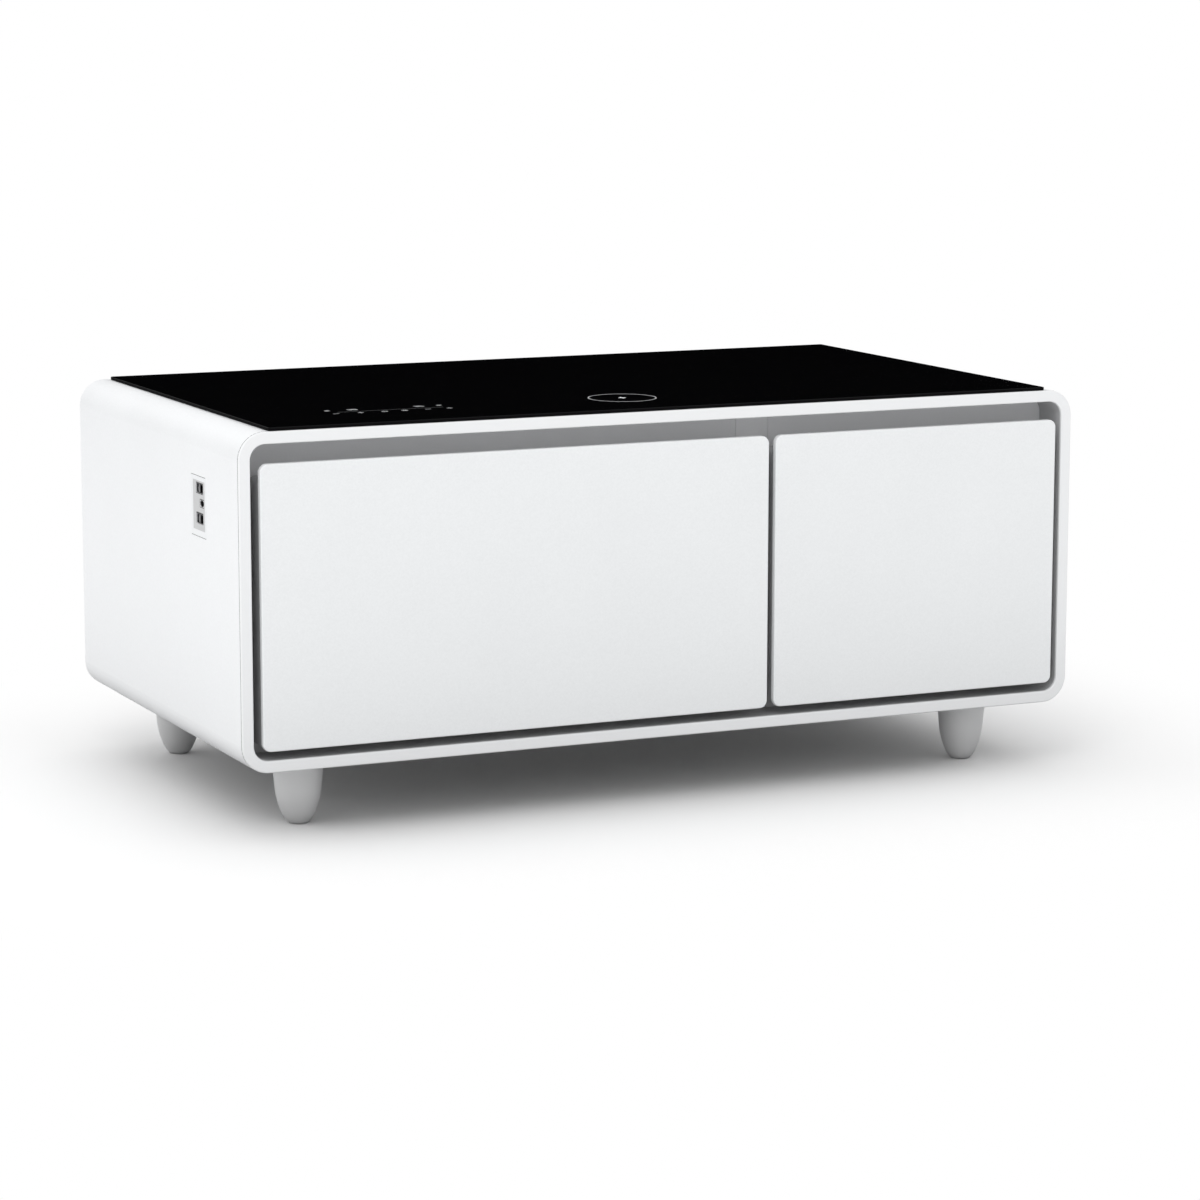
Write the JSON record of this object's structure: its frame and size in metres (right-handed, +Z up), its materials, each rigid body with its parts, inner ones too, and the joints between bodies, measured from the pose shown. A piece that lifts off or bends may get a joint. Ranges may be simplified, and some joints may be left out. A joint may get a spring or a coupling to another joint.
{
  "type": "refrigerator coffee table",
  "caption": "Low coffee table with a cooled cabinet: insulated drawers on ball slides behind a rounded white frame, black glass top with touch marks, tapered feet.",
  "frame": {"origin": "on the floor under the middle of the table's bounding box", "axes": "+X to the right of someone facing the drawers, drawers face -Y, +Z up"},
  "size_m": [1.0542, 0.5842, 0.4623],
  "materials": {
    "white_steel": "satin",
    "white_frame": "satin",
    "white_front": "satin",
    "grey_moulding": "matte",
    "seal_grey": "matte",
    "room_white": "satin",
    "bin_clear_white": "satin",
    "foam": "matte",
    "black_glass": "gloss",
    "tape": "matte",
    "zinc_steel": "satin",
    "back_grey": "satin",
    "screw_steel": "satin",
    "foot_grey": "satin",
    "rubber_black": "matte",
    "compressor_black": "satin",
    "black_plastic": "matte",
    "fan_white": "satin",
    "coil_aluminium": "satin",
    "copper": "satin",
    "board_green": "satin",
    "socket_white": "satin",
    "port_metal": "satin"
  },
  "bodies": {
    "cabinet": {"back_panel": "back_grey", "back_panel_screws": "screw_steel", "base_plate": "zinc_steel", "bulkhead": "zinc_steel", "compressor": "compressor_black", "compressor_grommets": "rubber_black", "condenser": "coil_aluminium", "control_board": "board_green", "divider_cover": "grey_moulding", "evaporator_fan_motor": "black_plastic", "fan_motor": "black_plastic", "fan_shroud": "black_plastic", "fascia_panels": "grey_moulding", "filter_drier": "copper", "front_frame": "white_frame", "glass_tape": "tape", "glass_top": "black_glass", "insulation_foam": "foam", "left_evaporator": "coil_aluminium", "left_evaporator_cover": "room_white", "left_liner": "room_white", "left_outer_rails": "zinc_steel", "leg_front_left": "foot_grey", "leg_front_right": "foot_grey", "leg_glides": "rubber_black", "leg_plates": "zinc_steel", "leg_rear_left": "foot_grey", "leg_rear_right": "foot_grey", "leg_studs": "screw_steel", "outer_shell": "white_steel", "power_inlet": "black_plastic", "power_supply": "board_green", "rail_screws": "screw_steel", "recess_surround": "grey_moulding", "refrigerant_lines": "copper", "right_evaporator": "coil_aluminium", "right_liner": "room_white", "right_outer_rails": "zinc_steel", "terminal_cover": "black_plastic", "touch_board": "board_green", "usb_bezel": "socket_white", "usb_board": "board_green", "usb_ports": "port_metal", "wireless_coil": "copper"},
    "left_drawer": {"left_door_front": "white_front", "left_door_body": "grey_moulding", "left_door_foam": "foam", "left_gasket": "seal_grey", "left_bin": "bin_clear_white", "left_inner_rails": "zinc_steel"},
    "right_drawer": {"right_door_front": "white_front", "right_door_body": "grey_moulding", "right_door_foam": "foam", "right_gasket": "seal_grey", "right_bin": "bin_clear_white", "right_inner_rails": "zinc_steel"},
    "left_cages": {"left_ball_cages": "zinc_steel"},
    "right_cages": {"right_ball_cages": "zinc_steel"},
    "condenser_rotor": {"condenser_fan": "black_plastic"},
    "evaporator_rotor": {"evaporator_fan": "fan_white"}
  },
  "joints": [
    {"name": "left_drawer_slide", "type": "slide", "parent": "cabinet", "child": "left_drawer", "axis": [0, -1, 0], "range_m": [0, 0.26]},
    {"name": "right_drawer_slide", "type": "slide", "parent": "cabinet", "child": "right_drawer", "axis": [0, -1, 0], "range_m": [0, 0.2]},
    {"name": "left_cage_slide", "type": "slide", "parent": "cabinet", "child": "left_cages", "axis": [0, -1, 0], "range_m": [0, 0.13]},
    {"name": "right_cage_slide", "type": "slide", "parent": "cabinet", "child": "right_cages", "axis": [0, -1, 0], "range_m": [0, 0.1]},
    {"name": "condenser_fan_spin", "type": "hinge", "parent": "cabinet", "child": "condenser_rotor", "pos_m": [0.1834, 0.198, 0.222], "axis": [1, 0, 0], "continuous": true},
    {"name": "evaporator_fan_spin", "type": "hinge", "parent": "cabinet", "child": "evaporator_rotor", "pos_m": [-0.19255, 0.145, 0.25435], "axis": [0, 1, 0], "continuous": true}
  ],
  "couplings": [
    {"joint": "left_cage_slide", "follows": "left_drawer_slide", "ratio": 0.5},
    {"joint": "right_cage_slide", "follows": "right_drawer_slide", "ratio": 0.5}
  ]
}
